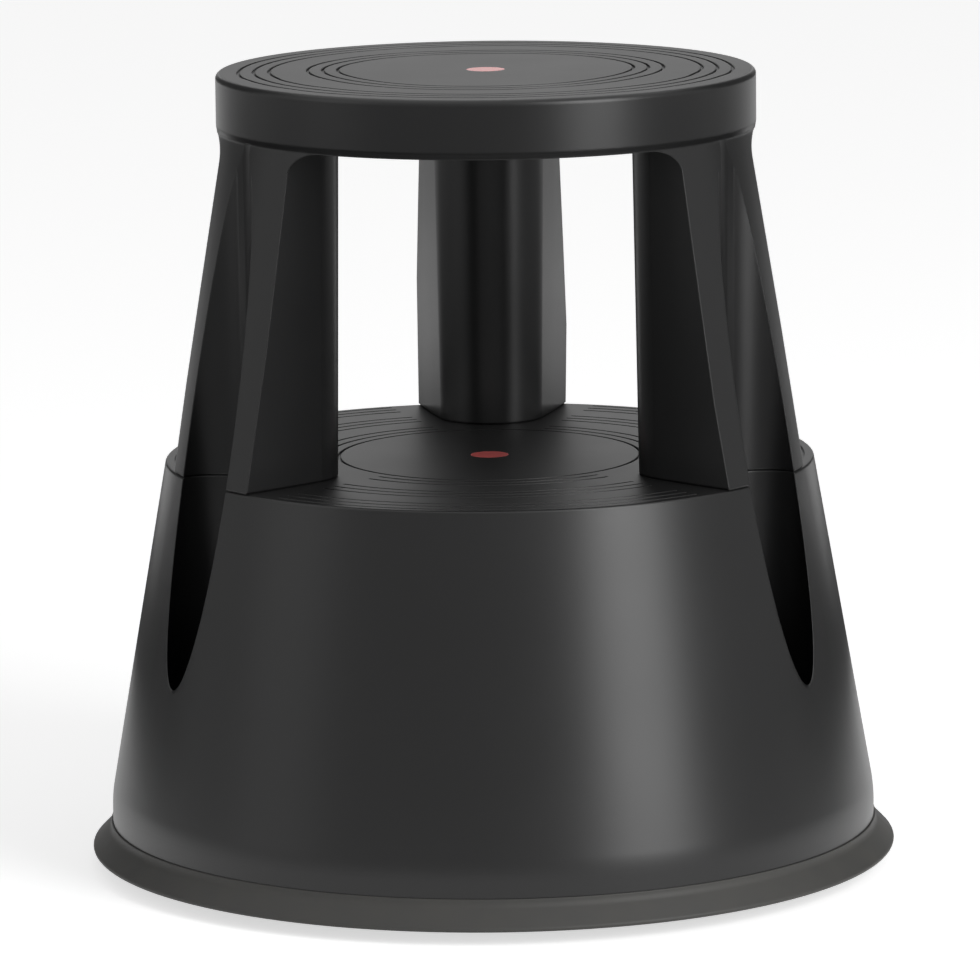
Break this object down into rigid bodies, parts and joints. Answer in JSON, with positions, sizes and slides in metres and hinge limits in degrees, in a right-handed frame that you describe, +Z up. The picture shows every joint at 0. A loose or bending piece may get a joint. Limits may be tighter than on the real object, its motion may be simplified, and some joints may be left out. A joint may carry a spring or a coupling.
{
  "type": "step stool",
  "caption": "Round rolling step stool: conical plastic drum with a lower step, an open three-legged tower with the top step, a rubber bumper ring and sprung castors.",
  "frame": {"origin": "on the floor, on the stool's upright axis, with the castors' tyres touching the floor", "axes": "+Z up, -Y to the front, towards the window between two legs"},
  "size_m": [0.4369, 0.437, 0.43],
  "materials": {
    "moulding": "satin, fine moulded grain",
    "bumper": "matt",
    "plug": "gloss",
    "steel": "zinc plated",
    "spring_steel": "oiled",
    "bearing_nylon": "satin",
    "wheel_nylon": "satin",
    "tyre": "matt"
  },
  "bodies": {
    "stool": {"tower": "moulding", "drum": "moulding", "bumper_ring": "bumper", "top_plug": "plug", "step_plug": "plug", "leg_screws": "steel", "guide_bush_front": "bearing_nylon", "spring_front": "spring_steel", "guide_bush_right": "bearing_nylon", "spring_right": "spring_steel", "guide_bush_left": "bearing_nylon", "spring_left": "spring_steel"},
    "castor_front": {"castor_pin_front": "steel", "snap_ring_front": "spring_steel", "thrust_washer_front": "bearing_nylon"},
    "swivel_front": {"fork_front": "steel", "axle_front": "steel"},
    "roller_front": {"wheel_front": "wheel_nylon", "tyre_front": "tyre"},
    "castor_right": {"castor_pin_right": "steel", "snap_ring_right": "spring_steel", "thrust_washer_right": "bearing_nylon"},
    "swivel_right": {"fork_right": "steel", "axle_right": "steel"},
    "roller_right": {"wheel_right": "wheel_nylon", "tyre_right": "tyre"},
    "castor_left": {"castor_pin_left": "steel", "snap_ring_left": "spring_steel", "thrust_washer_left": "bearing_nylon"},
    "swivel_left": {"fork_left": "steel", "axle_left": "steel"},
    "roller_left": {"wheel_left": "wheel_nylon", "tyre_left": "tyre"}
  },
  "joints": [
    {"name": "castor_front_slide", "type": "slide", "parent": "stool", "child": "castor_front", "axis": [0, 0, 1], "range_m": [0, 0.008], "stiffness_N_per_m": 3000, "springref_m": -0.0133, "deforming": ["spring_front"]},
    {"name": "castor_front_swivel", "type": "hinge", "parent": "castor_front", "child": "swivel_front", "pos_m": [0, -0.15, 0.0393], "axis": [0, 0, 1], "continuous": true},
    {"name": "castor_front_roll", "type": "hinge", "parent": "swivel_front", "child": "roller_front", "pos_m": [0, -0.138, 0.017], "axis": [1, 0, 0], "continuous": true},
    {"name": "castor_right_slide", "type": "slide", "parent": "stool", "child": "castor_right", "axis": [0, 0, 1], "range_m": [0, 0.008], "stiffness_N_per_m": 3000, "springref_m": -0.0133, "deforming": ["spring_right"]},
    {"name": "castor_right_swivel", "type": "hinge", "parent": "castor_right", "child": "swivel_right", "pos_m": [0.1299, 0.075, 0.0393], "axis": [0, 0, 1], "continuous": true},
    {"name": "castor_right_roll", "type": "hinge", "parent": "swivel_right", "child": "roller_right", "pos_m": [0.11951, 0.069, 0.017], "axis": [-0.5, 0.866, 0], "continuous": true},
    {"name": "castor_left_slide", "type": "slide", "parent": "stool", "child": "castor_left", "axis": [0, 0, 1], "range_m": [0, 0.008], "stiffness_N_per_m": 3000, "springref_m": -0.0133, "deforming": ["spring_left"]},
    {"name": "castor_left_swivel", "type": "hinge", "parent": "castor_left", "child": "swivel_left", "pos_m": [-0.1299, 0.075, 0.0393], "axis": [0, 0, 1], "continuous": true},
    {"name": "castor_left_roll", "type": "hinge", "parent": "swivel_left", "child": "roller_left", "pos_m": [-0.11951, 0.069, 0.017], "axis": [-0.5, -0.866, 0], "continuous": true}
  ]
}
